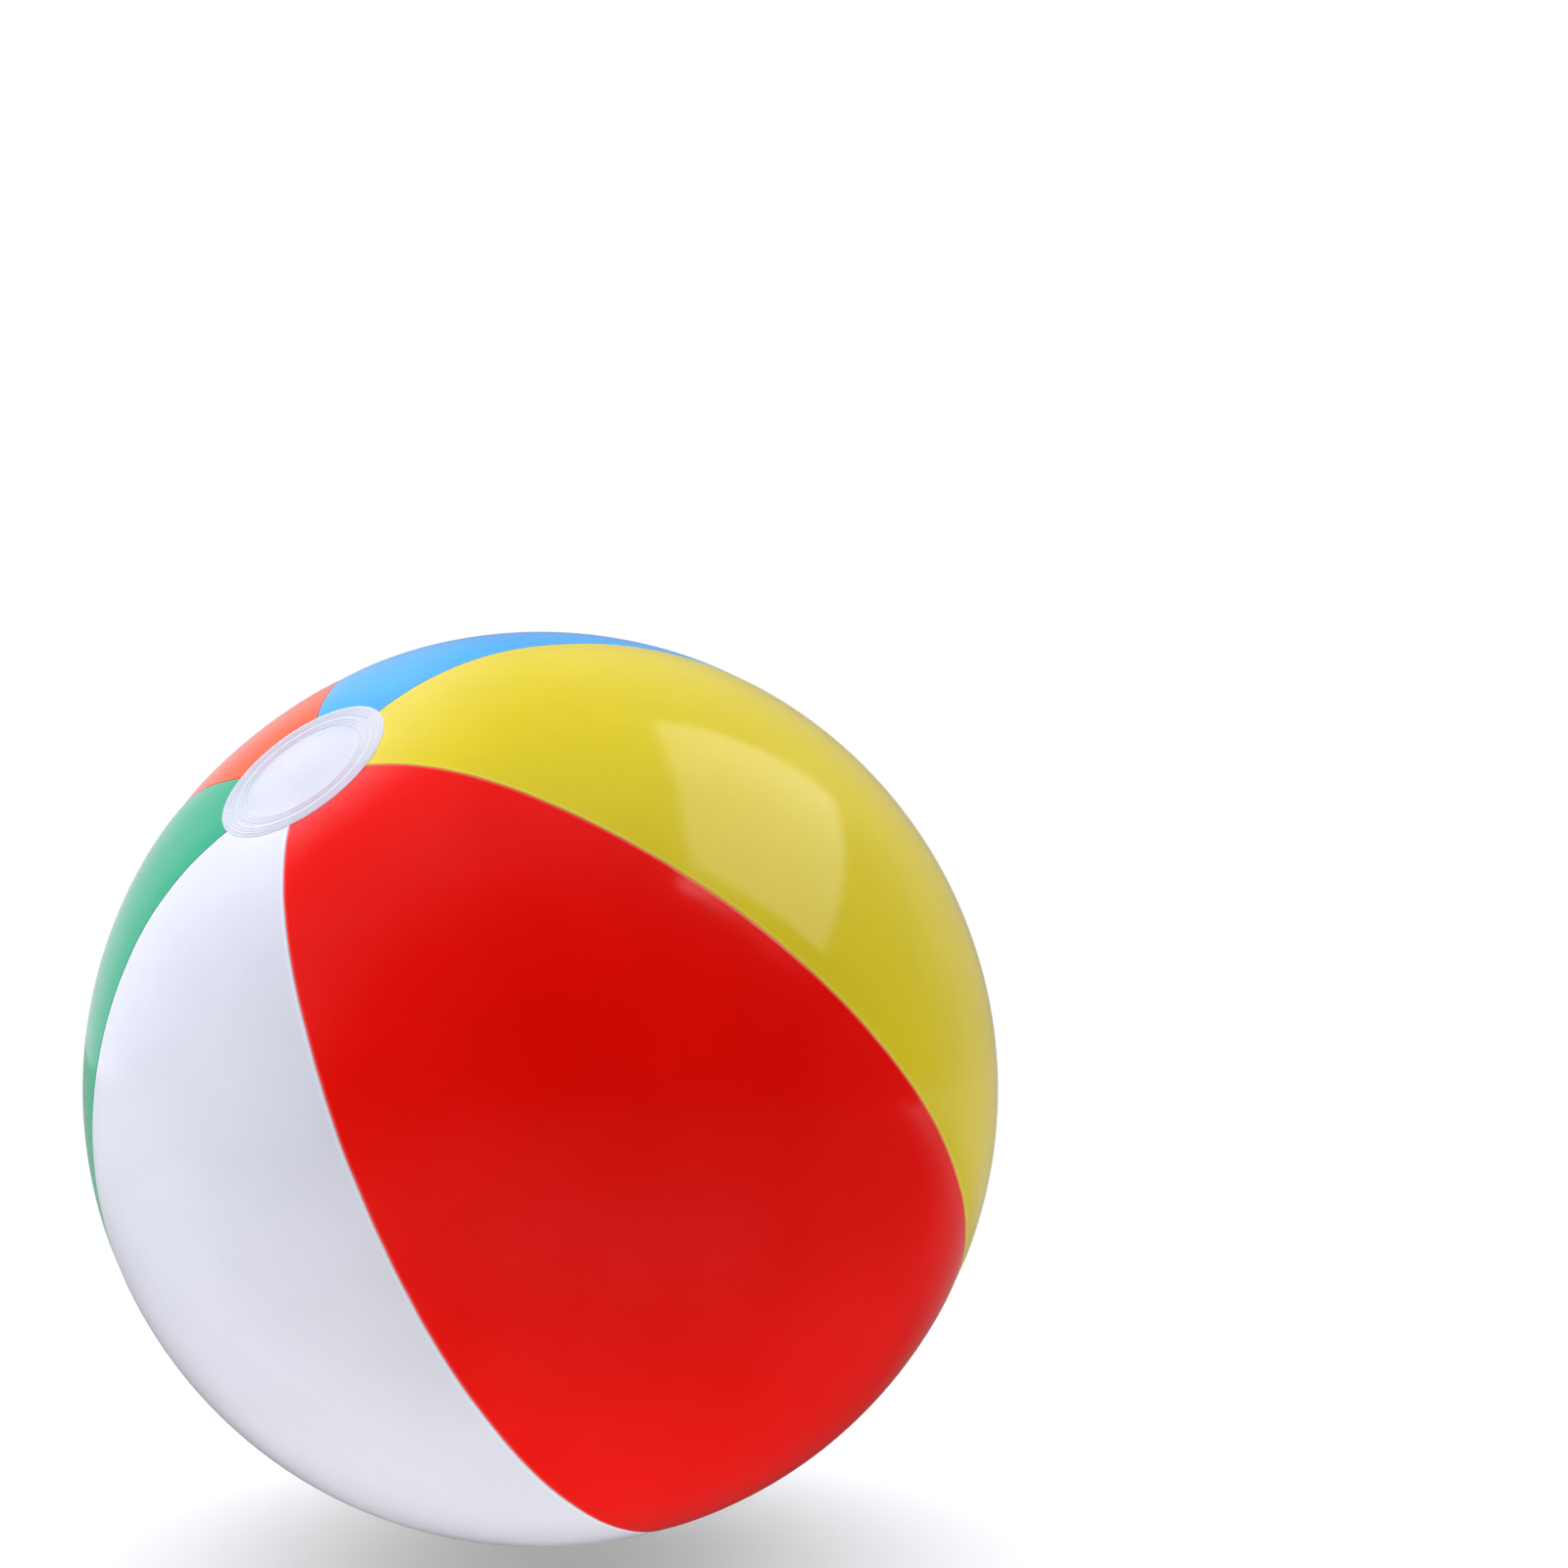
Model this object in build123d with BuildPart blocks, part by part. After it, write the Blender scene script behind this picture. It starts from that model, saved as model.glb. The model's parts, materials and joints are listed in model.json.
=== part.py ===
from build123d import *
import os
from math import cos, radians, sin, sqrt

# Inflatable beach ball: six welded film gores, two end discs and a push-in valve.
# Millimetres, +Z up. The origin is the point of the white gore that the ball rests on.

# ---- driving dimensions -------------------------------------------------------------
ball_diameter = 356.0        # inflated, over the film
film = 0.25                  # thickness of the gores' film
gore_names = ["blue", "orange", "green", "white", "red", "yellow"]  # in order round the pole

pole_tilt = 46.0             # angle of the upper pole from the vertical
pole_heading = 227.3         # compass direction that the upper pole leans in, from +X towards +Y

disc_diameter = 67.0         # end disc, welded over the gore tips: it holds the ball's ends flat
disc_thickness = 0.3
weld_radii = (23.8, 29.2)    # inner ring of each of the two weld tracks on a disc
weld_ring_count = 3          # raised rings in one weld track
weld_ring_pitch = 1.3
weld_ring_radius = 0.2       # of one ring's bead

shoulder_angle = 30.0        # from the pole, where the round of the ball turns in to the flat end
tip_hole_radius = 19.5       # round opening left where the six gore tips are cut off
fin_depth = 3.0              # inward weld flange along both edges of a gore, up to the discs

valve_latitude = 45.0        # angle of the valve from the lower pole, on the yellow gore
film_hole_radius = 11.5
flange_outer_radius = 18.0
flange_inner_radius = 11.0
flange_thickness = 0.8

stem_outer_radius = 5.0
bore_radius = 3.5
stem_top = -0.4              # height of the stem's rim over the ball's surface, pushed in
stem_length = 21.6
skirt_depth = 6.0            # from the flange to the skirt's inner edge
skirt_thickness = 0.6
skirt_gap = 0.3              # radial clearance between skirt and stem
lug_reach = 8.6              # from the stem's axis to the end of the strap's lug
lug_thickness = 1.0

strap_width = 5.0
strap_thickness = 1.0
hinge_reach = 9.0            # from the stem's axis to the strap's fold
plug_gap = 0.1               # under the plug's head, and above the flap
head_radius = 5.2
head_thickness = 1.2
peg_length = 4.0
peg_root_radius = 3.3
peg_tip_radius = 2.5

flap_radius = 4.6
flap_thickness = 0.5
flap_hinge_reach = 4.9       # from the stem's axis to the flap's fold

# ---- frames -------------------------------------------------------------------------
ball_radius = ball_diameter / 2
flat_radius = disc_diameter / 2
shoulder_radius = ball_radius - flat_radius / sin(radians(shoulder_angle))
shoulder_height = (ball_radius - shoulder_radius) * cos(radians(shoulder_angle))
flat_height = shoulder_height + shoulder_radius
gore_angle = 360 / len(gore_names)
centre = Vector(0, 0, ball_radius)
pole = Vector(
    sin(radians(pole_tilt)) * cos(radians(pole_heading)),
    sin(radians(pole_tilt)) * sin(radians(pole_heading)),
    cos(radians(pole_tilt)),
)
uphill = Vector(0, 0, 1) - pole * pole.Z          # square to the pole, in its vertical plane
ball_frame = Plane(origin=centre, x_dir=uphill, z_dir=pole)
pole_axis = Axis(centre, pole)


def meridian(azimuth):
    """Half plane of a seam: local x runs out from the pole's axis, local y along the pole."""
    turn = radians(azimuth)
    out = ball_frame.x_dir * cos(turn) + ball_frame.y_dir * sin(turn)
    return Plane(origin=centre, x_dir=out, z_dir=out.cross(pole))


def on_meridian(polar, inset, end):
    """Point of a meridian plane at a depth under the film's surface, beside an end of +1 or -1."""
    turn = radians(polar)
    reach = shoulder_radius - inset
    return (flat_radius + reach * sin(turn), end * (shoulder_height + reach * cos(turn)))


def meridian_line(inset, start):
    """Outline of the ball in a meridian plane: flat ends, shoulder arcs and the long round."""
    for end in (1, -1):
        flat_edge = on_meridian(0, inset, end)
        if start < flat_radius:
            Line((start, flat_edge[1]), flat_edge)
        ThreePointArc(
            flat_edge,
            on_meridian(shoulder_angle / 2, inset, end),
            on_meridian(shoulder_angle, inset, end),
        )
    ThreePointArc(
        on_meridian(shoulder_angle, inset, 1),
        (ball_radius - inset, 0),
        on_meridian(shoulder_angle, inset, -1),
    )


def band(outer_inset, inner_inset, start):
    """Closed strip between two depths, whose ends are a distance from the pole's axis."""
    meridian_line(outer_inset, start)
    meridian_line(inner_inset, start)
    for end in (1, -1):
        Line((start, end * (flat_height - outer_inset)), (start, end * (flat_height - inner_inset)))


# ---- valve frame: origin on the ball's surface, +Z outwards, +X towards the strap --------
valve_azimuth = gore_names.index("yellow") * gore_angle
valve_meridian = meridian(valve_azimuth)
valve_out = (
    valve_meridian.x_dir * sin(radians(180 - valve_latitude))
    + pole * cos(radians(180 - valve_latitude))
)
valve_point = centre + valve_out * ball_radius
valve_frame = Plane(origin=valve_point, x_dir=valve_meridian.z_dir, z_dir=valve_out)
valve_section = Plane(
    origin=valve_point, x_dir=valve_frame.x_dir, z_dir=valve_frame.x_dir.cross(valve_out)
)
valve_axis = Axis(valve_point, valve_out)

pieces = []


def keep(piece, name):
    """Label a finished piece and remember it for export."""
    piece.label = name
    pieces.append(piece)


# ---- gores: thin film lunes with a weld flange along both edges --------------------------
for index, colour in enumerate(gore_names):
    first_seam = meridian((index - 0.5) * gore_angle)
    last_seam = meridian((index + 0.5) * gore_angle)
    with BuildPart() as gore:
        with BuildSketch(first_seam):
            with BuildLine():
                band(0, film, tip_hole_radius)
            make_face()
        revolve(axis=pole_axis, revolution_arc=gore_angle)
        for seam, inward in ((first_seam, -film), (last_seam, film)):
            with BuildSketch(seam):
                with BuildLine():
                    band(film / 2, film + fin_depth, flat_radius)
                make_face()
            extrude(amount=inward)
        if colour == "yellow":
            with BuildSketch(valve_frame):
                Circle(film_hole_radius)
            extrude(amount=4 * film, both=True, mode=Mode.SUBTRACT)
    keep(gore.part, "panel_" + colour)

# ---- end discs: flat, over the gore tips, with raised weld rings -------------------------
disc_middle = flat_height + disc_thickness / 2
disc_top = flat_height + disc_thickness

for name, end in (("end_disc_upper", 1), ("end_disc_lower", -1)):
    with BuildPart() as disc:
        with BuildSketch(meridian(0)):
            with Locations((flat_radius / 2, end * disc_middle)):
                Rectangle(flat_radius, disc_thickness)
            for track in weld_radii:
                for ring in range(weld_ring_count):
                    with Locations((track + ring * weld_ring_pitch, end * disc_top)):
                        Circle(weld_ring_radius)
        revolve(axis=pole_axis)
    keep(disc.part, name)

# ---- valve flange: ring welded under the film, following its curve -----------------------
with BuildPart() as valve_flange:
    with BuildSketch(valve_section):
        with BuildLine():
            flange_top = ball_radius - film
            flange_base = flange_top - flange_thickness
            top_edge = sqrt(flange_top**2 - flange_outer_radius**2) - ball_radius
            base_edge = sqrt(flange_base**2 - flange_outer_radius**2) - ball_radius
            Line((0, -film), (0, -film - flange_thickness))
            RadiusArc(
                (0, -film - flange_thickness), (flange_outer_radius, base_edge), flange_base
            )
            Line((flange_outer_radius, base_edge), (flange_outer_radius, top_edge))
            RadiusArc((flange_outer_radius, top_edge), (0, -film), -flange_top)
        make_face()
    revolve(axis=valve_axis)
    with BuildSketch(valve_frame):
        Circle(flange_inner_radius)
    extrude(amount=4 * flange_thickness, both=True, mode=Mode.SUBTRACT)
keep(valve_flange.part, "valve_flange")

# ---- valve skirt: thin cone from the flange's inner edge down to the stem ----------------
skirt_inner_radius = stem_outer_radius + skirt_gap
skirt_top = sqrt((ball_radius - film) ** 2 - flange_inner_radius**2) - ball_radius
with BuildPart() as valve_skirt:
    with BuildSketch(valve_section):
        with BuildLine():
            Polyline(
                (flange_inner_radius, skirt_top),
                (skirt_inner_radius, skirt_top - skirt_depth),
                (skirt_inner_radius, skirt_top - skirt_depth - skirt_thickness),
                (flange_inner_radius, skirt_top - skirt_thickness),
                close=True,
            )
        make_face()
    revolve(axis=valve_axis)
keep(valve_skirt.part, "valve_skirt")

# ---- valve stem: plain tube with a lug on its rim for the plug's strap -------------------
stem_base = stem_top - stem_length
with BuildPart() as valve_stem:
    with BuildSketch(valve_frame.offset(stem_base)):
        Circle(stem_outer_radius)
    extrude(amount=stem_length)
    with BuildSketch(valve_frame.offset(stem_top - lug_thickness)):
        with Locations((lug_reach / 2, 0)):
            Rectangle(lug_reach, strap_width)
    extrude(amount=lug_thickness)
    with BuildSketch(valve_frame.offset(stem_base)):
        Circle(bore_radius)
    extrude(amount=stem_length, mode=Mode.SUBTRACT)
keep(valve_stem.part, "valve_stem")

# ---- valve plug: tapered peg, flat head and the strap that it swings on ------------------
head_base = stem_top + plug_gap
with BuildPart() as valve_plug:
    with BuildSketch(valve_frame.offset(head_base)):
        Circle(head_radius)
    extrude(amount=head_thickness)
    with BuildSketch(valve_section):
        with BuildLine():
            Polyline(
                (0, head_base),
                (peg_root_radius, head_base),
                (peg_tip_radius, head_base - peg_length),
                (0, head_base - peg_length),
                close=True,
            )
        make_face()
    revolve(axis=valve_axis)
    with BuildSketch(valve_section):
        with Locations((hinge_reach / 2, head_base + strap_thickness / 2)):
            Rectangle(hinge_reach, strap_thickness)
        with Locations((hinge_reach, head_base + strap_thickness / 2)):
            Circle(strap_thickness / 2)
    extrude(amount=strap_width / 2, both=True)
keep(valve_plug.part, "valve_plug")

# ---- check flap: thin disc under the stem, folding at one edge ---------------------------
flap_top = stem_base - plug_gap
with BuildPart() as check_flap:
    with BuildSketch(valve_frame.offset(flap_top - flap_thickness)):
        Circle(flap_radius)
    extrude(amount=flap_thickness)
    with BuildSketch(valve_section):
        with Locations((-flap_hinge_reach / 2, flap_top - flap_thickness / 2)):
            Rectangle(flap_hinge_reach, flap_thickness)
        with Locations((-flap_hinge_reach, flap_top - flap_thickness / 2)):
            Circle(flap_thickness / 2)
    extrude(amount=strap_width / 2, both=True)
keep(check_flap.part, "check_flap")

# ---- export -------------------------------------------------------------------------
os.makedirs("parts", exist_ok=True)
for piece in pieces:
    export_step(piece, "parts/" + piece.label + ".step")
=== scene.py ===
import json
from math import asin, cos, exp, pi, radians, sin, sqrt

import bmesh
import bpy
from mathutils import Matrix, Vector, noise
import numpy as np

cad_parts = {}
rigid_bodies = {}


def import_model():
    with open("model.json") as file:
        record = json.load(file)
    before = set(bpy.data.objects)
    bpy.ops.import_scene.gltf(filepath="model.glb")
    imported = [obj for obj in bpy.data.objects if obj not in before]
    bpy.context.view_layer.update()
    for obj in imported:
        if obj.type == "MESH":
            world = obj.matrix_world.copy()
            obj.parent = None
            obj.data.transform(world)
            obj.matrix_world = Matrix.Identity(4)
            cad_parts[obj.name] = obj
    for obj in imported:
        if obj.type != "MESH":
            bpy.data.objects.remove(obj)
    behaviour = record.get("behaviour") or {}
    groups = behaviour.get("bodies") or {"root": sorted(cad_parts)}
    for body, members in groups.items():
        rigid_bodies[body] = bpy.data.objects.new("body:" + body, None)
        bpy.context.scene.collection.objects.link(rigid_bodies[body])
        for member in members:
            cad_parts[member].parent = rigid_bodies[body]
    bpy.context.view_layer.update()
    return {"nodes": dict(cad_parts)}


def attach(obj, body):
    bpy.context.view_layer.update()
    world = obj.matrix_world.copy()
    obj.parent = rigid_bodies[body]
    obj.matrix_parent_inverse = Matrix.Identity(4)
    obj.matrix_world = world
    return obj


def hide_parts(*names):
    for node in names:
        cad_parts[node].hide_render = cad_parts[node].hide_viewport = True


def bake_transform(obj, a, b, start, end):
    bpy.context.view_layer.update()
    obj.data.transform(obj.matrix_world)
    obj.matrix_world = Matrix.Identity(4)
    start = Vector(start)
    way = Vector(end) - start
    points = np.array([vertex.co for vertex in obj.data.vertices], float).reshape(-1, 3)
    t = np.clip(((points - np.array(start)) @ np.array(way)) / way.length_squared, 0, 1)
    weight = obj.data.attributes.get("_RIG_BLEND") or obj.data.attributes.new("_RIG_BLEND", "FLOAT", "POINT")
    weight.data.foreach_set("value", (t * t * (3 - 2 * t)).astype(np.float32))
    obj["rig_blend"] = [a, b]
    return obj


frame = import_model()

# ---- Gores -----------------------------------------------------------------------------
# Six pole-to-pole lunes of calendered PVC film, 0.25 mm thick and dyed through. Neighbours
# are laid face to face, welded 3 mm in from their edges and turned out, so that a seam is
# a fine groove with the weld inside it, and the stiffer weld pulls small puckers.
mm = 0.001
ball_radius = 178 * mm
flat_radius = 33.5 * mm
shoulder_angle = radians(30)
shoulder_radius = ball_radius - flat_radius / sin(shoulder_angle)
shoulder_height = (ball_radius - shoulder_radius) * cos(shoulder_angle)
flat_height = shoulder_height + shoulder_radius
shoulder_length = shoulder_radius * shoulder_angle
half_meridian = flat_radius + shoulder_length + ball_radius * (pi / 2 - shoulder_angle)

# The ball rests on its white gore, and its upper pole leans over to the front left. The
# gores are shaped round the origin with the poles on Z, and ball_place lays them down.
centre = Vector((0, 0, ball_radius))
pole_tilt = radians(46)
pole_heading = radians(227.3)
lean = Vector((cos(pole_heading), sin(pole_heading), 0))
pole = lean * sin(pole_tilt) + Vector((0, 0, cos(pole_tilt)))
uphill = (Vector((0, 0, 1)) - pole * pole.z).normalized()
ball_turn = Matrix((uphill, pole.cross(uphill), pole)).transposed()
ball_place = Matrix.Translation(centre) @ ball_turn.to_4x4()

gore_colours = {
    "blue": "#33B0FA",
    "orange": "#FF5A0C",
    "green": "#12B685",
    "white": "#F0F0FB",
    "red": "#FF0B02",
    "yellow": "#F0D82B",
}
gore_width = 2 * pi / len(gore_colours)
tip_radius = 19.5 * mm
film = 0.25 * mm
fin_depth = 3 * mm
edge_roll = 0.6 * mm
seam_gap = 0.02 * mm
near_columns = [1.2 * mm, 2 * mm, 3 * mm, 4.5 * mm, 6.5 * mm, 9 * mm]
middle_columns = 44
gore_rows = 290


def linear(hex_colour):
    """sRGB hex to linear RGBA."""
    shares = [int(hex_colour[i:i + 2], 16) / 255 for i in (1, 3, 5)]
    return [c / 12.92 if c <= 0.04045 else ((c + 0.055) / 1.055) ** 2.4 for c in shares] + [1]


def add_node(tree, kind, settings={}, links={}):
    """Add a node, set its properties or input values, and link outputs into its inputs."""
    made = tree.nodes.new(kind)
    for name, value in settings.items():
        if isinstance(name, str) and hasattr(made, name):
            setattr(made, name, value)
        else:
            made.inputs[name].default_value = value
    for name, source in links.items():
        tree.links.new(source, made.inputs[name])
    return made


def new_material(name, settings):
    """A material with one Principled shader, whose even values are set on its own sockets."""
    material = bpy.data.materials.new(name)
    material.use_nodes = True
    shader = material.node_tree.nodes["Principled BSDF"]
    for socket, value in settings.items():
        shader.inputs[socket].default_value = value
    return material, material.node_tree, shader


def film_material(colour):
    """Dyed PVC film: soft gloss, cloudy pigment, orange peel, painted shade and highlight at seams."""
    cloud_size = 45 * mm
    peel_size = 2.2 * mm
    wave_size = 16 * mm
    waves_to_peel = 6.0
    relief_height = 0.02 * mm
    # A paler band 0.6 to 1.4 mm from the seam is a painted highlight of the rolled edge.
    seam_highlight_start, seam_highlight_end = 0.6 * mm, 1.4 * mm
    # Darker colour within 0.4 mm of the seam is painted shade deep in the groove.
    groove_shade_start, groove_shade_end = 0.05 * mm, 0.4 * mm
    material, tree, shader = new_material("pvc_film_" + colour, {
        "IOR": 1.5,
        "Subsurface Weight": 0.1,
        "Subsurface Radius": (1.0, 0.8, 0.7),
        "Subsurface Scale": 1 * mm,
    })
    place = add_node(tree, "ShaderNodeTexCoord").outputs["Object"]
    clouds = add_node(
        tree, "ShaderNodeTexNoise", {"Scale": 1 / cloud_size, "Detail": 3}, {"Vector": place}
    )
    dyed = add_node(
        tree,
        "ShaderNodeMapRange",
        {"From Min": 0.3, "From Max": 0.7, "To Min": 0.97, "To Max": 1.03},
        {"Value": clouds.outputs["Fac"]},
    )
    from_seam = add_node(tree, "ShaderNodeAttribute", {"attribute_name": "from_seam"})
    # Painted highlight: the film is made paler just beside the seam.
    seam_highlight = add_node(
        tree,
        "ShaderNodeMapRange",
        {"From Min": seam_highlight_start, "From Max": seam_highlight_end, "To Min": 1, "To Max": 0},
        {"Value": from_seam.outputs["Fac"]},
    )
    # Painted shade: the colour darkens towards the bottom of the groove.
    groove_shade = add_node(
        tree,
        "ShaderNodeMapRange",
        {"From Min": groove_shade_start, "From Max": groove_shade_end, "To Min": 0.6, "To Max": 1},
        {"Value": from_seam.outputs["Fac"]},
    )
    pigment = add_node(
        tree,
        "ShaderNodeHueSaturation",
        {"Color": linear(gore_colours[colour])},
        {"Value": dyed.outputs["Result"]},
    )
    # Paler colour in the band beside the seam: a painted highlight.
    highlighted = add_node(
        tree,
        "ShaderNodeHueSaturation",
        {"Saturation": 0.94, "Value": 1.1},
        {"Color": pigment.outputs["Color"], "Fac": seam_highlight.outputs["Result"]},
    )
    # The painted groove shade darkens the colour here.
    shaded = add_node(
        tree,
        "ShaderNodeHueSaturation",
        {},
        {"Color": highlighted.outputs["Color"], "Value": groove_shade.outputs["Result"]},
    )
    gloss = add_node(
        tree,
        "ShaderNodeMapRange",
        {"From Min": 0.3, "From Max": 0.7, "To Min": 0.11, "To Max": 0.16},
        {"Value": clouds.outputs["Fac"]},
    )
    peel = add_node(
        tree, "ShaderNodeTexNoise", {"Scale": 1 / peel_size, "Detail": 2}, {"Vector": place}
    )
    waves = add_node(
        tree, "ShaderNodeTexNoise", {"Scale": 1 / wave_size, "Detail": 1}, {"Vector": place}
    )
    relief = add_node(
        tree,
        "ShaderNodeMath",
        {"operation": "MULTIPLY_ADD", 1: waves_to_peel},
        {0: waves.outputs["Fac"], 2: peel.outputs["Fac"]},
    )
    bump = add_node(
        tree,
        "ShaderNodeBump",
        {"Strength": 0.35, "Distance": relief_height},
        {"Height": relief.outputs["Value"]},
    )
    tree.links.new(shaded.outputs["Color"], shader.inputs["Base Color"])
    tree.links.new(gloss.outputs["Result"], shader.inputs["Roughness"])
    tree.links.new(bump.outputs["Normal"], shader.inputs["Normal"])
    return material


def on_meridian(along):
    """Reach from the pole's axis, height and tilt of the film at a distance along a meridian."""
    end = 1 if along < half_meridian else -1
    travel = along if end > 0 else 2 * half_meridian - along
    past_flat = travel - flat_radius
    past_shoulder = past_flat - shoulder_length
    if past_flat < 0:
        tilt, reach, height = 0, travel, flat_height
    elif past_shoulder < 0:
        tilt = past_flat / shoulder_radius
        reach = flat_radius + shoulder_radius * sin(tilt)
        height = shoulder_height + shoulder_radius * cos(tilt)
    else:
        tilt = shoulder_angle + past_shoulder / ball_radius
        reach = ball_radius * sin(tilt)
        height = ball_radius * cos(tilt)
    return reach, end * height, tilt if end > 0 else pi - tilt


def gore_edge():
    """(distance from the seam, depth) of the columns from the weld's inner edge outwards."""
    fin_steps, roll_steps = 3, 6
    points = []
    for step in range(fin_steps):
        points.append((seam_gap, edge_roll + fin_depth * (1 - step / fin_steps)))
    for step in range(roll_steps + 1):
        turn = pi / 2 * step / roll_steps
        points.append((seam_gap + edge_roll * (1 - cos(turn)), edge_roll * (1 - sin(turn))))
    return points + [(reach, 0) for reach in near_columns]


def seam_wander(seam, along):
    """How far a seam strays sideways from a true meridian."""
    slow_length, quick_length = 38 * mm, 9 * mm
    slow = noise.noise(Vector((along / slow_length, seam * 7.3, 0.5)))
    quick = noise.noise(Vector((along / quick_length, seam * 7.3, 9.5)))
    return (0.4 * slow + 0.1 * quick) * mm


def seam_dip(seam, along, reach):
    """Height of the film beside a seam: the dip along the weld, with small puckers in it."""
    slow_length, quick_length, slack_length = 13 * mm, 4.5 * mm, 60 * mm
    dip_reach, pucker_reach = 6 * mm, 5 * mm
    slow = noise.noise(Vector((along / slow_length, seam * 3.7, 2.5)))
    quick = noise.noise(Vector((along / quick_length, seam * 3.7, 6.5)))
    slack = max(0, 0.4 + 1.6 * noise.noise(Vector((along / slack_length, seam * 5.1, 4.5))))
    dip = -0.25 * exp(-(reach / dip_reach) ** 2)
    pucker = (0.14 * slow + 0.06 * quick) * slack * exp(-(reach / pucker_reach) ** 2)
    return (dip + pucker) * mm


def gore_mesh(number):
    """One gore as an open sheet: its outer face, with both edges turned in to their welds."""
    wander_reach = 25 * mm
    edge = gore_edge()
    last = len(edge) - 1
    columns = 2 * last + middle_columns
    seams = {-1: (number - 1) % len(gore_colours), 1: number}
    bm = bmesh.new()
    from_seam = bm.verts.layers.float.new("from_seam")
    bmesh.ops.create_grid(bm, x_segments=columns, y_segments=gore_rows, size=0.5)
    bmesh.ops.reverse_faces(bm, faces=bm.faces)
    for v in bm.verts:
        column = round((v.co.x + 0.5) * columns)
        side = 1 if column > columns / 2 else -1
        near = min(column, columns - column)
        along = tip_radius + (v.co.y + 0.5) * 2 * (half_meridian - tip_radius)
        reach, height, tilt = on_meridian(along)
        insets = {}
        for way, seam in seams.items():
            away = edge[min(near, last)][0] if way == side else edge[last][0]
            stray = way * seam_wander(seam, along) * exp(-away / wander_reach)
            insets[way] = asin((away - stray) / reach)
        if near <= last:
            azimuth = side * (gore_width / 2 - insets[side])
            v[from_seam], depth = edge[near]
        else:
            share = (column - last) / middle_columns
            low, high = insets[-1] - gore_width / 2, gore_width / 2 - insets[1]
            azimuth = low + (high - low) * share
            v[from_seam], depth = 2 * near_columns[-1], 0
        lift = -depth
        for way, seam in seams.items():
            lift += seam_dip(seam, along, reach * sin(gore_width / 2 - way * azimuth))
        radius = reach + lift * sin(tilt)
        turn = number * gore_width + azimuth
        v.co = (radius * cos(turn), radius * sin(turn), height + lift * cos(tilt))
    bm.transform(ball_place)
    return bm


def finish_piece(bm, name, material, body=None):
    """Turn a bmesh into a smooth-shaded piece with its material and slot, riding on a body."""
    mesh = bpy.data.meshes.new(name)
    bm.to_mesh(mesh)
    bm.free()
    mesh.shade_smooth()
    mesh.materials.append(material)
    piece = bpy.data.objects.new(name, mesh)
    bpy.context.scene.collection.objects.link(piece)
    if body:
        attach(piece, body)
    return piece


# The valve is let into the yellow gore, 45 degrees from the lower pole. The film's hole is
# pressed round the valve's flange, which stands out through it as a low ring with three
# fine weld lines. In the valve's own frame Z points out and X towards the plug's strap.
valve_azimuth = list(gore_colours).index("yellow") * gore_width
valve_latitude = radians(45)
valve_polar = pi - valve_latitude
abeam = uphill * cos(valve_azimuth) + pole.cross(uphill) * sin(valve_azimuth)
valve_out = abeam * sin(valve_polar) + pole * cos(valve_polar)
valve_point = centre + valve_out * ball_radius
strap_way = abeam.cross(pole)
valve_turn = Matrix((strap_way, valve_out.cross(strap_way), valve_out)).transposed()
valve_place = Matrix.Translation(valve_point) @ valve_turn.to_4x4()
film_hole = 11.5 * mm
flange_reach = 18 * mm
imprint_rise = 0.35 * mm
patch_radius = 22 * mm
weld_lines = [16.4 * mm, 14.7 * mm, 13 * mm]
weld_line_rise = 0.14 * mm
weld_line_half = 0.5 * mm


def ball_drop(reach):
    """Height of the ball's surface at a reach from the valve's axis, against its top there."""
    return sqrt(ball_radius ** 2 - reach ** 2) - ball_radius


def spun(profile, closed=False):
    """A profile of (reach, height) points spun round the Z axis."""
    bm = bmesh.new()
    verts = [bm.verts.new((reach, 0, height)) for reach, height in profile]
    edges = [bm.edges.new(pair) for pair in zip(verts, verts[1:])]
    if closed:
        edges.append(bm.edges.new((verts[-1], verts[0])))
    bmesh.ops.spin(
        bm,
        geom=verts + edges,
        cent=(0, 0, 0),
        axis=(0, 0, 1),
        dvec=(0, 0, 0),
        angle=2 * pi,
        steps=96,
        use_merge=True,
    )
    bmesh.ops.remove_doubles(bm, verts=bm.verts, dist=0.001 * mm)
    bmesh.ops.recalc_face_normals(bm, faces=bm.faces)
    return bm


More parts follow.
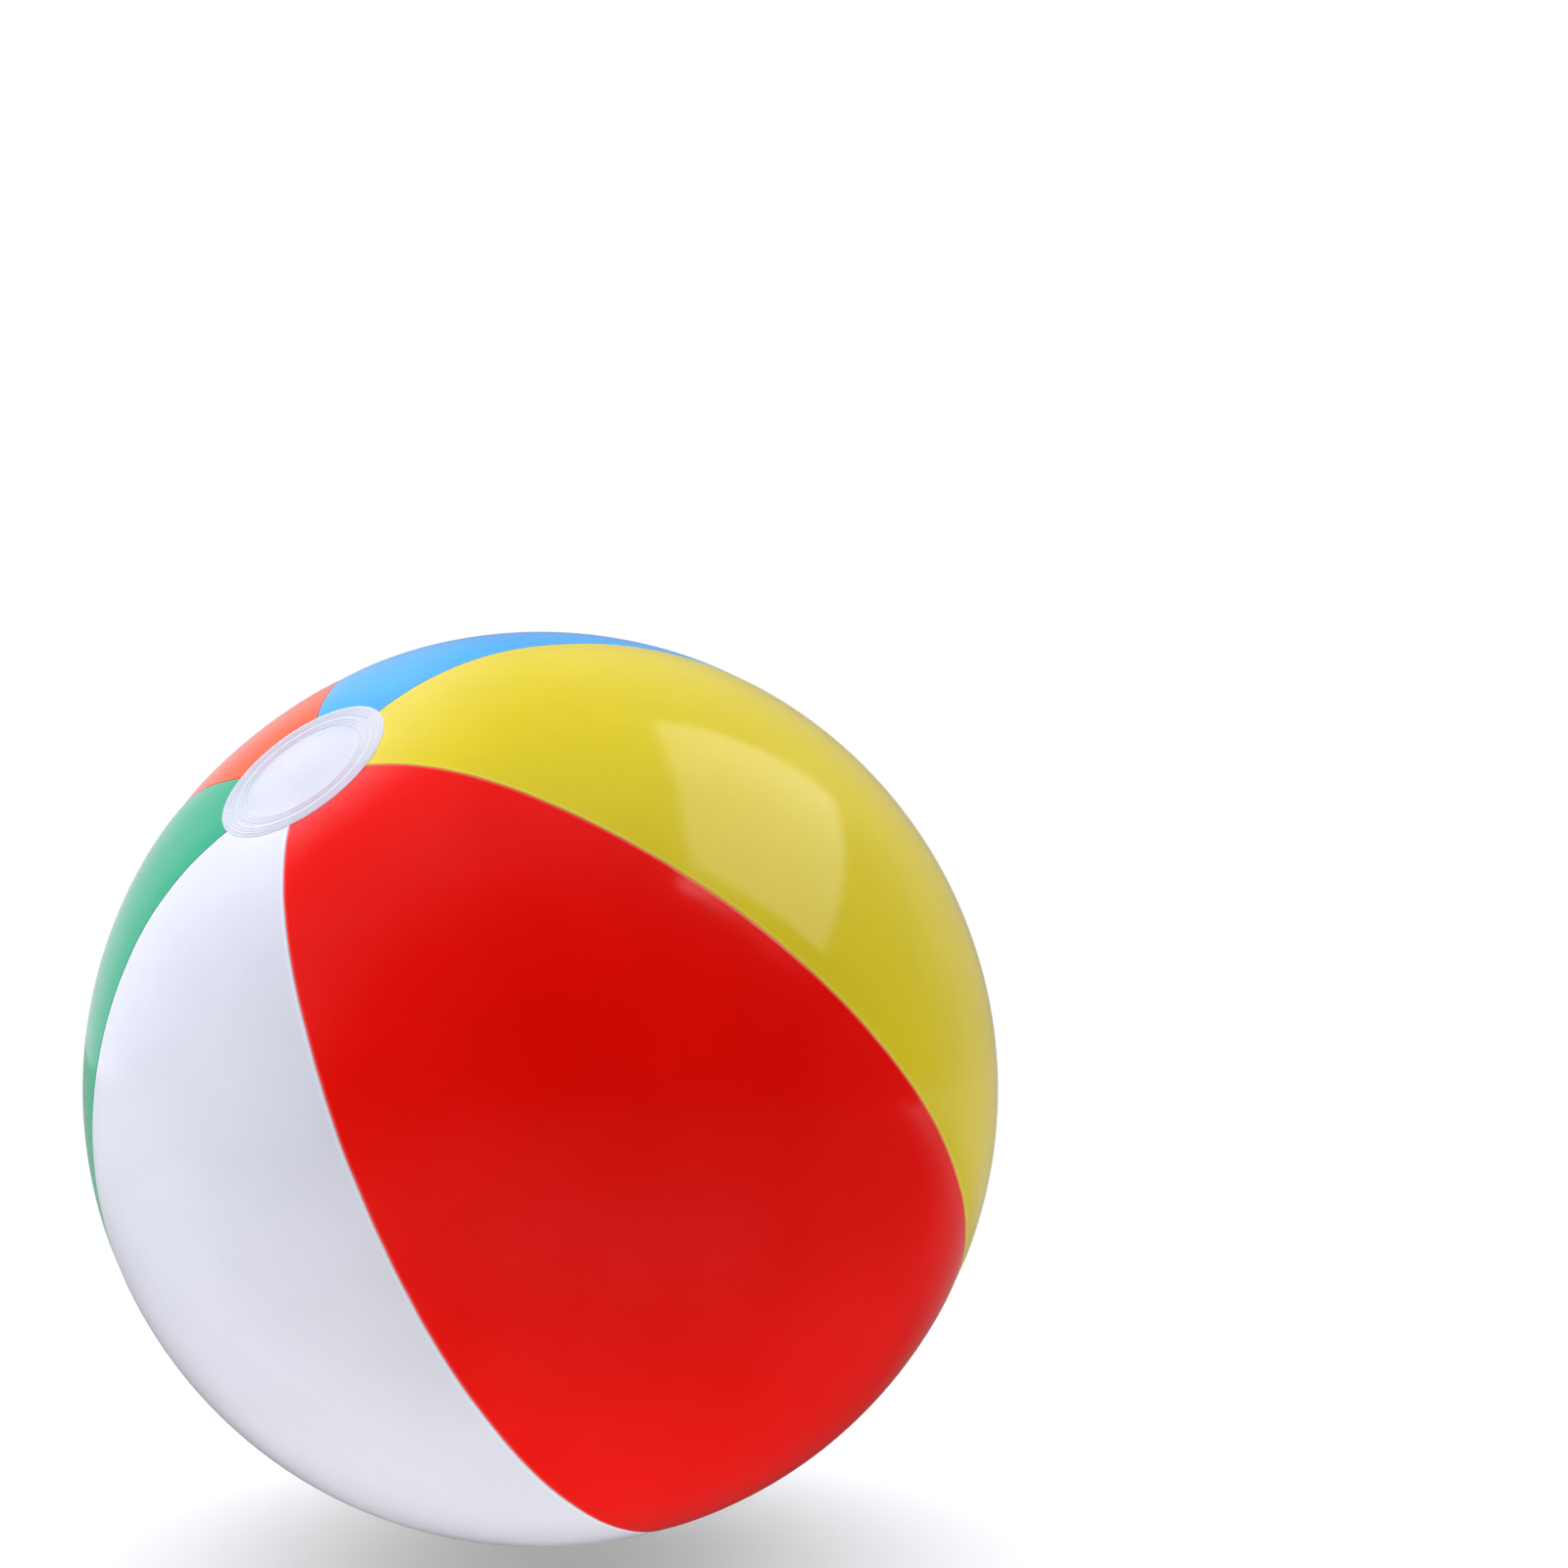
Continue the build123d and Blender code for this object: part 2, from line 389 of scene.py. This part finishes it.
def press_round_valve(bm):
    """Replace the film round the valve by a round patch with the flange's imprint and hole."""
    near = [f for f in bm.faces if (f.calc_center_median() - valve_point).length < patch_radius]
    bmesh.ops.delete(bm, geom=near, context="FACES")
    outer = 1.06 * patch_radius  # the film's new edge, just outside the patch
    for v in bm.verts:
        if v.is_boundary and (v.co - valve_point).length < 2 * patch_radius:
            spot = valve_place.inverted() @ v.co
            spot = Vector((spot.x, spot.y, 0)).normalized() * outer
            v.co = valve_place @ Vector((spot.x, spot.y, ball_drop(outer)))
    profile = [
        (patch_radius, 0),
        (flange_reach + 1 * mm, 0),
        (flange_reach + 0.4 * mm, 0.2 * imprint_rise),
        (flange_reach, 0.8 * imprint_rise),
        (flange_reach - 0.4 * mm, imprint_rise),
    ]
    for line in weld_lines:
        profile += [
            (line + weld_line_half, imprint_rise),
            (line, imprint_rise + weld_line_rise),
            (line - weld_line_half, imprint_rise),
        ]
    profile += [
        (film_hole + 0.3 * mm, imprint_rise),
        (film_hole, 0.8 * imprint_rise),
        (film_hole, 0),
    ]
    patch = spun([(reach, ball_drop(reach) + lift) for reach, lift in profile])
    patch.transform(valve_place)
    mesh = bpy.data.meshes.new("valve_patch")
    patch.to_mesh(mesh)
    patch.free()
    from_seam = bm.verts.layers.float["from_seam"]
    gore_verts = set(bm.verts)
    bm.from_mesh(mesh)
    bpy.data.meshes.remove(mesh)
    for v in set(bm.verts) - gore_verts:
        v[from_seam] = 2 * near_columns[-1]
    rims = [
        e for e in bm.edges
        if e.is_boundary
        and 0.95 * patch_radius < (e.verts[0].co - valve_point).length < 1.2 * patch_radius
    ]
    bmesh.ops.bridge_loops(bm, edges=rims)
    bmesh.ops.recalc_face_normals(bm, faces=bm.faces)


for number, colour in enumerate(gore_colours):
    bm = gore_mesh(number)
    if colour == "yellow":
        press_round_valve(bm)
    gore = finish_piece(bm, "gore_" + colour, film_material(colour), "ball")
    wall = gore.modifiers.new("film thickness", "SOLIDIFY")
    wall.thickness = film
    wall.offset = -1
    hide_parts("panel_" + colour)

# ---- End discs ---------------------------------------------------------------------------
# Two discs of milky PVC sheet, 0.3 mm thick, stamped out and welded over the gore tips by
# two tracks of three fine rings. Air behind them swells the middle. Where they lie on the
# gores, the colours show through faintly.
disc_radius = 33.5 * mm
disc_thickness = 0.3 * mm
disc_swell = 1.1 * mm
swell_radius = 22.5 * mm
ring_tracks = [23.8 * mm, 29.2 * mm]
ring_pitch = 1.3 * mm
ring_rise = 0.2 * mm
ring_half = 0.35 * mm


def disc_profile():
    """(reach, height) of a disc over the flat end: swollen middle, weld rings, rounded rim."""
    points = []
    swell_steps, rim_steps = 14, 4
    for step in range(swell_steps + 1):
        reach = swell_radius * step / swell_steps
        swell = disc_swell * (1 + cos(pi * reach / swell_radius)) / 2
        points.append((reach, disc_thickness + swell))
    for track in ring_tracks:
        for ring in range(3):
            reach = track + ring * ring_pitch
            points += [
                (reach - ring_half, disc_thickness),
                (reach - ring_half / 2, disc_thickness + 0.75 * ring_rise),
                (reach, disc_thickness + ring_rise),
                (reach + ring_half / 2, disc_thickness + 0.75 * ring_rise),
                (reach + ring_half, disc_thickness),
            ]
    rim = disc_thickness / 2
    for step in range(rim_steps + 1):
        turn = pi / 2 * step / rim_steps
        points.append((disc_radius - rim * (1 - sin(turn)), disc_thickness - rim * (1 - cos(turn))))
    return points + [(disc_radius, 0), (0, 0)]


def disc_material():
    """Milky PVC sheet: a cloudy off-white that lets light in, tinted over the gore tips."""
    cloud_size = 24 * mm
    material, tree, shader = new_material("pvc_sheet_milky", {
        "IOR": 1.5,
        "Subsurface Weight": 0.1,
        "Subsurface Radius": (1.0, 0.95, 1.0),
        "Subsurface Scale": 1 * mm,
    })
    place = add_node(tree, "ShaderNodeTexCoord").outputs["Object"]
    squared = add_node(
        tree,
        "ShaderNodeMapping",
        {"vector_type": "TEXTURE", "Location": centre, "Rotation": ball_turn.to_euler()},
        {"Vector": place},
    )
    parts = add_node(tree, "ShaderNodeSeparateXYZ", {}, {"Vector": squared.outputs["Vector"]})
    azimuth = add_node(
        tree,
        "ShaderNodeMath",
        {"operation": "ARCTAN2"},
        {0: parts.outputs["Y"], 1: parts.outputs["X"]},
    )
    turns = add_node(
        tree,
        "ShaderNodeMath",
        {"operation": "MULTIPLY_ADD", 1: 1 / (2 * pi), 2: 0.5 / len(gore_colours)},
        {0: azimuth.outputs["Value"]},
    )
    share = add_node(
        tree, "ShaderNodeMath", {"operation": "FRACT"}, {0: turns.outputs["Value"]}
    )
    gores = add_node(tree, "ShaderNodeValToRGB", {}, {"Fac": share.outputs["Value"]})
    ramp = gores.color_ramp
    ramp.interpolation = "CONSTANT"
    ramp.elements.remove(ramp.elements[1])
    for number, colour in enumerate(gore_colours.values()):
        start = number / len(gore_colours)
        stop = ramp.elements.new(start) if number else ramp.elements[0]
        stop.color = linear(colour)
    flat = add_node(
        tree,
        "ShaderNodeVectorMath",
        {"operation": "MULTIPLY", 1: (1, 1, 0)},
        {0: squared.outputs["Vector"]},
    )
    reach = add_node(
        tree, "ShaderNodeVectorMath", {"operation": "LENGTH"}, {0: flat.outputs["Vector"]}
    )
    over_tips = add_node(
        tree,
        "ShaderNodeMapRange",
        {"From Min": tip_radius, "From Max": tip_radius + 2 * mm, "To Min": 0, "To Max": 0.06},
        {"Value": reach.outputs["Value"]},
    )
    clouds = add_node(
        tree, "ShaderNodeTexNoise", {"Scale": 1 / cloud_size, "Detail": 3}, {"Vector": place}
    )
    milk = add_node(tree, "ShaderNodeValToRGB", {}, {"Fac": clouds.outputs["Fac"]})
    milk.color_ramp.elements[0].position = 0.3
    milk.color_ramp.elements[0].color = linear("#E0E0ED")
    milk.color_ramp.elements[1].position = 0.7
    milk.color_ramp.elements[1].color = linear("#E6E6F2")
    tinted = add_node(
        tree,
        "ShaderNodeMix",
        {"data_type": "RGBA"},
        {0: over_tips.outputs["Result"], 6: milk.outputs["Color"], 7: gores.outputs["Color"]},
    )
    gloss = add_node(
        tree,
        "ShaderNodeMapRange",
        {"From Min": 0.3, "From Max": 0.7, "To Min": 0.24, "To Max": 0.3},
        {"Value": clouds.outputs["Fac"]},
    )
    tree.links.new(tinted.outputs[2], shader.inputs["Base Color"])
    tree.links.new(gloss.outputs["Result"], shader.inputs["Roughness"])
    return material


milky_sheet = disc_material()
for name, flip in (("upper", 0), ("lower", pi)):
    bm = spun(disc_profile())
    bmesh.ops.translate(bm, vec=(0, 0, flat_height), verts=bm.verts)
    bmesh.ops.rotate(bm, cent=(0, 0, 0), matrix=Matrix.Rotation(flip, 3, "X"), verts=bm.verts)
    bm.transform(ball_place)
    disc = finish_piece(bm, "disc_" + name, milky_sheet, "ball")
    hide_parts("end_disc_" + name)

# ---- Valve ---------------------------------------------------------------------------------
# One moulding of soft clear vinyl. A flange is welded under the film, and a thin skirt turns
# inside out when the stem is pulled up. The check flap under the stem hangs by one edge.
flange_bore = 11 * mm
skirt_depth = 6 * mm
skirt_top = ball_drop(flange_bore) - film
skirt_base = skirt_top - skirt_depth
skirt_wall = 0.6 * mm
skirt_outer = 11.2 * mm
skirt_inner = 5.1 * mm


def valve_material():
    """Soft clear vinyl, injection moulded: cloudy, a little blue, with a smooth wet gloss."""
    cloud_size = 5 * mm
    material, tree, shader = new_material("soft_vinyl_clear", {
        "IOR": 1.5,
        "Transmission Weight": 0.3,
        "Subsurface Weight": 0.3,
        "Subsurface Radius": (1.0, 1.0, 1.0),
        "Subsurface Scale": 2 * mm,
    })
    place = add_node(tree, "ShaderNodeTexCoord").outputs["Object"]
    clouds = add_node(
        tree, "ShaderNodeTexNoise", {"Scale": 1 / cloud_size, "Detail": 2}, {"Vector": place}
    )
    tone = add_node(tree, "ShaderNodeValToRGB", {}, {"Fac": clouds.outputs["Fac"]})
    tone.color_ramp.elements[0].position = 0.3
    tone.color_ramp.elements[0].color = linear("#D9E0E6")
    tone.color_ramp.elements[1].position = 0.7
    tone.color_ramp.elements[1].color = linear("#EEF2F5")
    gloss = add_node(
        tree,
        "ShaderNodeMapRange",
        {"From Min": 0.3, "From Max": 0.7, "To Min": 0.14, "To Max": 0.26},
        {"Value": clouds.outputs["Fac"]},
    )
    tree.links.new(tone.outputs["Color"], shader.inputs["Base Color"])
    tree.links.new(gloss.outputs["Result"], shader.inputs["Roughness"])
    return material


clear_vinyl = valve_material()
for node in ("valve_flange", "check_flap"):
    for material_slot in frame["nodes"][node].material_slots:
        material_slot.material = clear_vinyl

skirt_line = []
skirt_steps = 12
for step in range(skirt_steps + 1):
    share = step / skirt_steps
    ease = share * share * (3 - 2 * share)
    reach = skirt_outer + (skirt_inner - skirt_outer) * share
    skirt_line.append((reach, skirt_top + (skirt_base - skirt_top) * ease))
underside = [(reach, height - skirt_wall) for reach, height in reversed(skirt_line)]
bm = spun(skirt_line + underside, closed=True)
bm.transform(valve_place)
skirt = finish_piece(bm, "skirt", clear_vinyl)
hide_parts("valve_skirt")
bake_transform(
    skirt,
    "ball",
    "stem",
    start=tuple(valve_place @ Vector((0, 0, skirt_top))),
    end=tuple(valve_place @ Vector((0, 0, skirt_base))),
)

# ---- Stem ----------------------------------------------------------------------------------
# The tube that the ball is blown up through, with rounded lips and a bead where the skirt
# joins it. A flat lug on its rim carries the plug's strap.
stem_radius = 5 * mm
bore_radius = 3.5 * mm
stem_top = -0.4 * mm
stem_base = -22 * mm
lug_reach = 8.6 * mm
lug_thickness = 1 * mm
strap_half = 2.5 * mm
lip = 0.5 * mm


def corner(reach, height, quarter, rounding=lip):
    """Points of a rounded corner about a centre, counted in quarter turns from outwards."""
    steps = 4
    turns = [pi / 2 * (quarter + step / steps) for step in range(steps + 1)]
    return [(reach + rounding * cos(turn), height + rounding * sin(turn)) for turn in turns]


def add_block(bm, low, high, rounding):
    """Add a box between two corners, with rounded edges."""
    made = bmesh.ops.create_cube(bm, size=1)["verts"]
    bmesh.ops.scale(bm, vec=Vector(high) - Vector(low), verts=made)
    bmesh.ops.translate(bm, vec=(Vector(high) + Vector(low)) / 2, verts=made)
    bmesh.ops.bevel(
        bm,
        geom=list({e for v in made for e in v.link_edges}),
        offset=rounding,
        segments=3,
        profile=0.5,
        affect="EDGES",
        material=-1,
    )


stem_line = corner(stem_radius - lip, stem_base + lip, -1)
stem_line += [
    (stem_radius, skirt_base - skirt_wall - lip),
    (stem_radius + 0.8 * lip, skirt_base - skirt_wall / 2),
    (stem_radius, skirt_base + lip),
]
stem_line += corner(stem_radius - lip, stem_top - lip, 0)
stem_line += corner(bore_radius + lip, stem_top - lip, 1)
stem_line += corner(bore_radius + lip, stem_base + lip, 2)
bm = spun(stem_line, closed=True)
add_block(
    bm,
    (stem_radius - lip, -strap_half, stem_top - lug_thickness),
    (lug_reach, strap_half, stem_top),
    0.2 * mm,
)
bm.transform(valve_place)
stem = finish_piece(bm, "stem_tube", clear_vinyl, "stem")
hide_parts("valve_stem")

# ---- Plug ----------------------------------------------------------------------------------
# A tapered peg under a round head with a thumb hollow, and the strap that keeps it on the
# stem. The strap folds back over the lug and bends there as the plug swings away.
head_radius = 5.2 * mm
head_base = -0.3 * mm
head_thickness = 1.2 * mm
hollow_radius = 3.2 * mm
hollow_depth = 0.35 * mm
peg_length = 4 * mm
peg_root = 3.3 * mm
peg_tip = 2.5 * mm
hinge_reach = 9 * mm
strap_thickness = 1 * mm
head_top = head_base + head_thickness
peg_base = head_base - peg_length

plug_line = [(0, peg_base)] + corner(peg_tip - lip, peg_base + lip, -1)
plug_line += [(peg_root, head_base)]
plug_line += corner(head_radius - lip, head_base + lip, -1)
plug_line += corner(head_radius - lip, head_top - lip, 0)
plug_line += [
    (hollow_radius + 0.4 * mm, head_top),
    (hollow_radius, head_top - 0.3 * hollow_depth),
    (hollow_radius - 0.5 * mm, head_top - 0.9 * hollow_depth),
    (0, head_top - hollow_depth),
]
bm = spun(plug_line)
add_block(
    bm,
    (head_radius - lip, -strap_half, head_base),
    (hinge_reach, strap_half, head_base + strap_thickness),
    0.2 * mm,
)
bm.transform(valve_place)
plug = finish_piece(bm, "plug_head", clear_vinyl, "plug")
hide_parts("valve_plug")

lug_middle = stem_top - lug_thickness / 2
strap_middle = head_base + strap_thickness / 2
fold_middle = (lug_middle + strap_middle) / 2
fold_radius = (strap_middle - lug_middle) / 2
fold_half = 0.4 * mm
fold_lead = 0.6 * mm
bm = bmesh.new()
ends = [
    bm.verts.new((hinge_reach, -strap_half, fold_middle - fold_radius + fold_half * way))
    for way in (-1, 1)
]
bmesh.ops.spin(
    bm,
    geom=ends + [bm.edges.new(ends)],
    cent=(hinge_reach, 0, fold_middle),
    axis=(0, -1, 0),
    dvec=(0, 0, 0),
    angle=pi,
    steps=12,
)
for v in bm.verts:
    if v.co.x < hinge_reach + 0.01 * mm:
        v.co.x -= fold_lead
sides = bmesh.ops.extrude_face_region(bm, geom=bm.faces[:])["geom"]
far_side = [v for v in sides if isinstance(v, bmesh.types.BMVert)]
bmesh.ops.translate(bm, vec=(0, 2 * strap_half, 0), verts=far_side)
bmesh.ops.recalc_face_normals(bm, faces=bm.faces)
bm.transform(valve_place)
fold = finish_piece(bm, "strap_fold", clear_vinyl)
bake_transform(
    fold,
    "stem",
    "plug",
    start=tuple(valve_place @ Vector((hinge_reach, 0, lug_middle))),
    end=tuple(valve_place @ Vector((hinge_reach, 0, strap_middle))),
)

# ---- Studio --------------------------------------------------------------------------------
# A white paper floor that fades into a white surround. A tent lights the ball, brightest high
# behind it and dark round the camera, and a soft box shows only in its gloss. Light Path nodes
# make the floor and the surround white to look at and dim in the gloss.
paper_radius = 6
shade_start, shade_end = 0.35, 0.8
bright_way = (-0.32, 0.62, 0.72)
window_place = Vector((0.78, -0.06, 0.93))
window_width, window_height = 1.02, 0.72
window_roll = radians(25.7)
window_watts = 3.4

bm = bmesh.new()
bmesh.ops.create_circle(bm, cap_ends=True, segments=96, radius=paper_radius)
floor_mesh = bpy.data.meshes.new("floor")
bm.to_mesh(floor_mesh)
bm.free()
floor = bpy.data.objects.new("floor", floor_mesh)
bpy.context.scene.collection.objects.link(floor)
paper = bpy.data.materials.new("white_paper")
paper.use_nodes = True
paper.node_tree.nodes.remove(paper.node_tree.nodes["Principled BSDF"])
paper.cycles.emission_sampling = "NONE"
floor_mesh.materials.append(paper)
tree = paper.node_tree
sight = add_node(tree, "ShaderNodeLightPath")
spot = add_node(tree, "ShaderNodeTexCoord").outputs["Object"]
reach = add_node(tree, "ShaderNodeVectorMath", {"operation": "LENGTH"}, {0: spot})
near = add_node(
    tree,
    "ShaderNodeMapRange",
    {"interpolation_type": "SMOOTHSTEP", "From Min": shade_end, "From Max": shade_start},
    {"Value": reach.outputs["Value"]},
)
shaded_seen = add_node(
    tree,
    "ShaderNodeMath",
    {"operation": "MULTIPLY"},
    {0: near.outputs["Result"], 1: sight.outputs["Is Camera Ray"]},
)
bounce = add_node(
    tree,
    "ShaderNodeMapRange",
    {"To Min": 0.52, "To Max": 1.15},
    {"Value": near.outputs["Result"]},
)
lit = add_node(
    tree,
    "ShaderNodeMix",
    {"data_type": "FLOAT", 3: 1},
    {0: sight.outputs["Is Camera Ray"], 2: bounce.outputs["Result"]},
)
spots = add_node(tree, "ShaderNodeSeparateXYZ", {}, {"Vector": spot})
mirrored = add_node(
    tree,
    "ShaderNodeMapRange",
    {"From Min": 0.05, "From Max": 0.6, "To Min": 0.05, "To Max": 0.4},
    {"Value": spots.outputs["Y"]},
)
tone = add_node(
    tree,
    "ShaderNodeMix",
    {"data_type": "FLOAT"},
    {
        0: sight.outputs["Is Glossy Ray"],
        2: lit.outputs[0],
        3: mirrored.outputs["Result"],
    },
)
glow = add_node(tree, "ShaderNodeEmission", {}, {"Strength": tone.outputs[0]})
shaded = add_node(tree, "ShaderNodeBsdfDiffuse", {"Color": (0.89, 0.88, 0.85, 1)})
surface = add_node(
    tree,
    "ShaderNodeMixShader",
    {},
    {0: shaded_seen.outputs["Value"], 1: glow.outputs[0], 2: shaded.outputs[0]},
)
tree.links.new(surface.outputs[0], tree.nodes["Material Output"].inputs["Surface"])

world = bpy.data.worlds.new("studio")
bpy.context.scene.world = world
world.use_nodes = True
world.cycles.sampling_method = "NONE"
tree = world.node_tree
sight = add_node(tree, "ShaderNodeLightPath")
way = add_node(tree, "ShaderNodeTexCoord").outputs["Generated"]
parts = add_node(tree, "ShaderNodeSeparateXYZ", {}, {"Vector": way})
brightward = add_node(
    tree,
    "ShaderNodeVectorMath",
    {"operation": "DOT_PRODUCT", 1: bright_way},
    {0: way},
)
sky = add_node(
    tree,
    "ShaderNodeMapRange",
    {"From Min": -0.1, "From Max": 0.15, "To Min": 0.25, "To Max": 2.25},
    {"Value": brightward.outputs["Value"]},
)
dark_front = add_node(
    tree,
    "ShaderNodeMapRange",
    {"From Min": -0.69, "From Max": -0.37, "To Min": 0.02, "To Max": 1},
    {"Value": parts.outputs["Y"]},
)
tent = add_node(
    tree,
    "ShaderNodeMath",
    {"operation": "MULTIPLY"},
    {0: sky.outputs["Result"], 1: dark_front.outputs["Result"]},
)
left_wall = add_node(
    tree,
    "ShaderNodeMapRange",
    {"From Min": -0.35, "From Max": -0.05, "To Min": 0.8, "To Max": 0.35},
    {"Value": parts.outputs["X"]},
)
behind = add_node(
    tree,
    "ShaderNodeMapRange",
    {"From Min": 0.2, "From Max": 0.6, "To Min": 0.05, "To Max": 1},
    {"Value": parts.outputs["Y"]},
)
mirror = add_node(
    tree,
    "ShaderNodeMath",
    {"operation": "MULTIPLY_ADD", 2: 0.01},
    {0: left_wall.outputs["Result"], 1: behind.outputs["Result"]},
)
strength = add_node(
    tree,
    "ShaderNodeMix",
    {"data_type": "FLOAT"},
    {
        0: sight.outputs["Is Glossy Ray"],
        2: tent.outputs["Value"],
        3: mirror.outputs["Value"],
    },
)
surround = tree.nodes["Background"]
surround.inputs["Color"].default_value = linear("#F4F6FF")
tree.links.new(strength.outputs[0], surround.inputs["Strength"])
backdrop = add_node(tree, "ShaderNodeBackground", {"Color": (1, 1, 1, 1), "Strength": 1})
seen = add_node(
    tree,
    "ShaderNodeMixShader",
    {},
    {0: sight.outputs["Is Camera Ray"], 1: surround.outputs[0], 2: backdrop.outputs[0]},
)
tree.links.new(seen.outputs[0], tree.nodes["World Output"].inputs["Surface"])

window_light = bpy.data.lights.new("window", "AREA")
window_light.shape = "RECTANGLE"
window_light.size = window_width
window_light.size_y = window_height
window_light.energy = window_watts
window = bpy.data.objects.new("window", window_light)
bpy.context.scene.collection.objects.link(window)
window.location = centre + window_place
window.rotation_euler = window_place.to_track_quat("Z", "Y").to_euler()
window.rotation_euler.rotate_axis("Z", window_roll)
window.visible_diffuse = False

# Diffuse rays pass through the gores and discs and meet an unseen grey ball inside them, so
# that the light round the contact shadow isn't coloured by the film.
bm = bmesh.new()
bmesh.ops.create_icosphere(bm, subdivisions=5, radius=0.93 * ball_radius)
bm.transform(Matrix.Translation(centre))
grey_mesh = bpy.data.meshes.new("grey_ball")
bm.to_mesh(grey_mesh)
bm.free()
grey_mesh.shade_smooth()
grey_ball = bpy.data.objects.new("grey_ball", grey_mesh)
bpy.context.scene.collection.objects.link(grey_ball)
grey_paint = new_material("grey_paint", {"Base Color": linear("#A0A0A0")})[0]
grey_mesh.materials.append(grey_paint)
grey_ball.visible_camera = False
grey_ball.visible_glossy = False
grey_ball.visible_shadow = False
grey_ball.visible_transmission = False
for piece in bpy.context.scene.objects:
    if piece.name.startswith(("gore_", "disc_")):
        piece.visible_diffuse = False

# ---- Camera --------------------------------------------------------------------------------
# Low and close, almost level with the ball and four radii from its centre. The shift puts
# the ball in the lower left of the frame, with the camera still pointed at its centre.
camera_rise = radians(4.3)
camera_distance = 4 * ball_radius
camera_data = bpy.data.cameras.new("camera")
camera_data.lens = 40.7
camera_data.shift_x = 0.1554
camera_data.shift_y = 0.1948
camera = bpy.data.objects.new("camera", camera_data)
bpy.context.scene.collection.objects.link(camera)
back = Vector((0, -cos(camera_rise), sin(camera_rise)))
camera.location = centre + back * camera_distance
camera.rotation_euler = back.to_track_quat("Z", "Y").to_euler()
bpy.context.scene.camera = camera
bpy.context.scene.view_settings.view_transform = "Standard"
